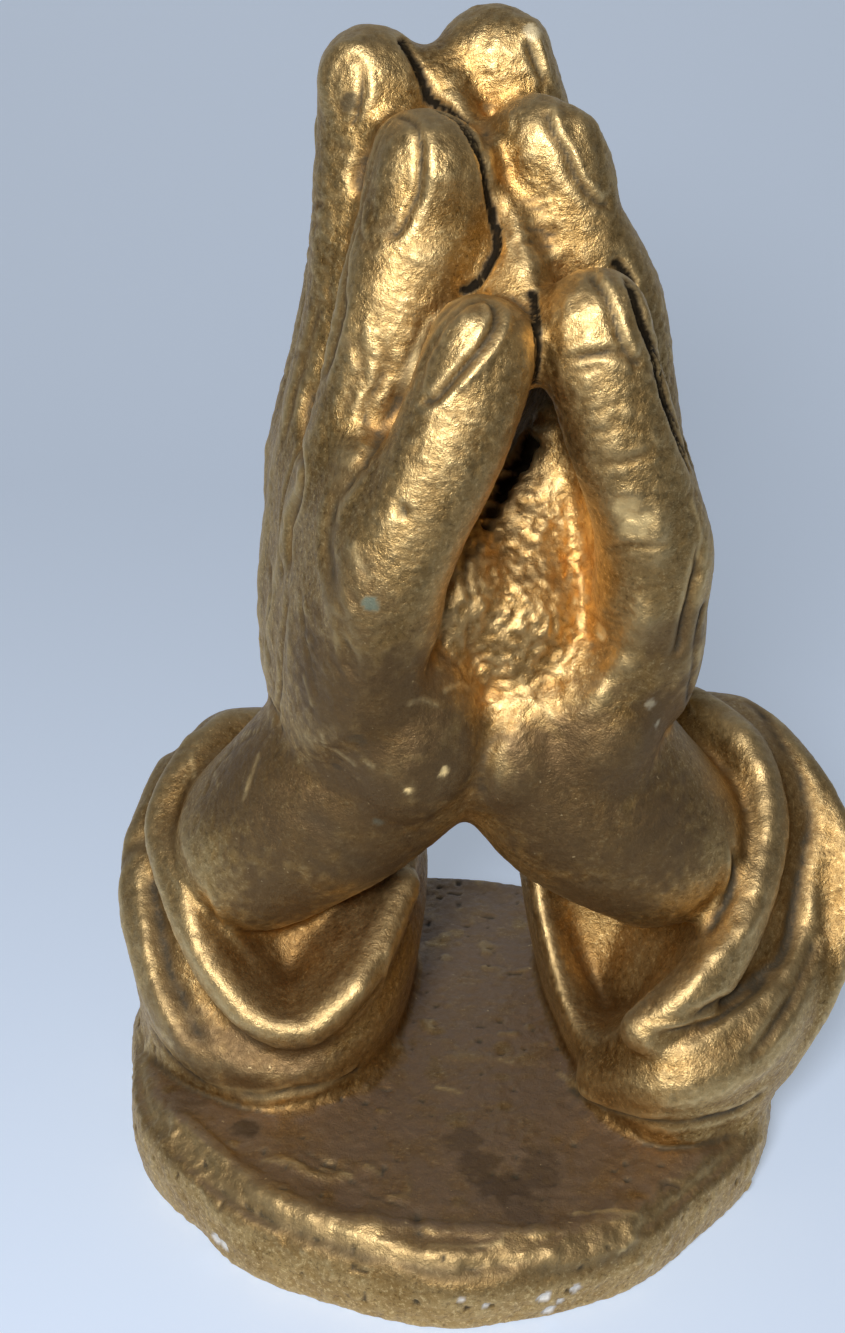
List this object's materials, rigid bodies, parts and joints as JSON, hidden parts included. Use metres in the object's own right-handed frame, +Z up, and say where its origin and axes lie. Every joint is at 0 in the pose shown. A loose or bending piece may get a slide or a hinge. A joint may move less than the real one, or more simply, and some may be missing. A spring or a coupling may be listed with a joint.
{
  "type": "praying hands statue",
  "caption": "Praying hands statue, gold-painted cast plaster: two hands palm to palm rising from wide sleeve cuffs on a round base.",
  "frame": {"origin": "on the flat underside of the base, below the middle between the sleeves", "axes": "+Z up along the fingers, -Y towards the side with the little fingers, +X to the right as seen from -Y"},
  "size_m": [0.1571, 0.1419, 0.2306],
  "materials": {
    "gold_painted_plaster": "worn metallic gold paint over plaster, dark in the hollows, dusty on top faces"
  },
  "bodies": {
    "root": {"praying_hands_statue": "gold_painted_plaster"}
  },
  "joints": []
}
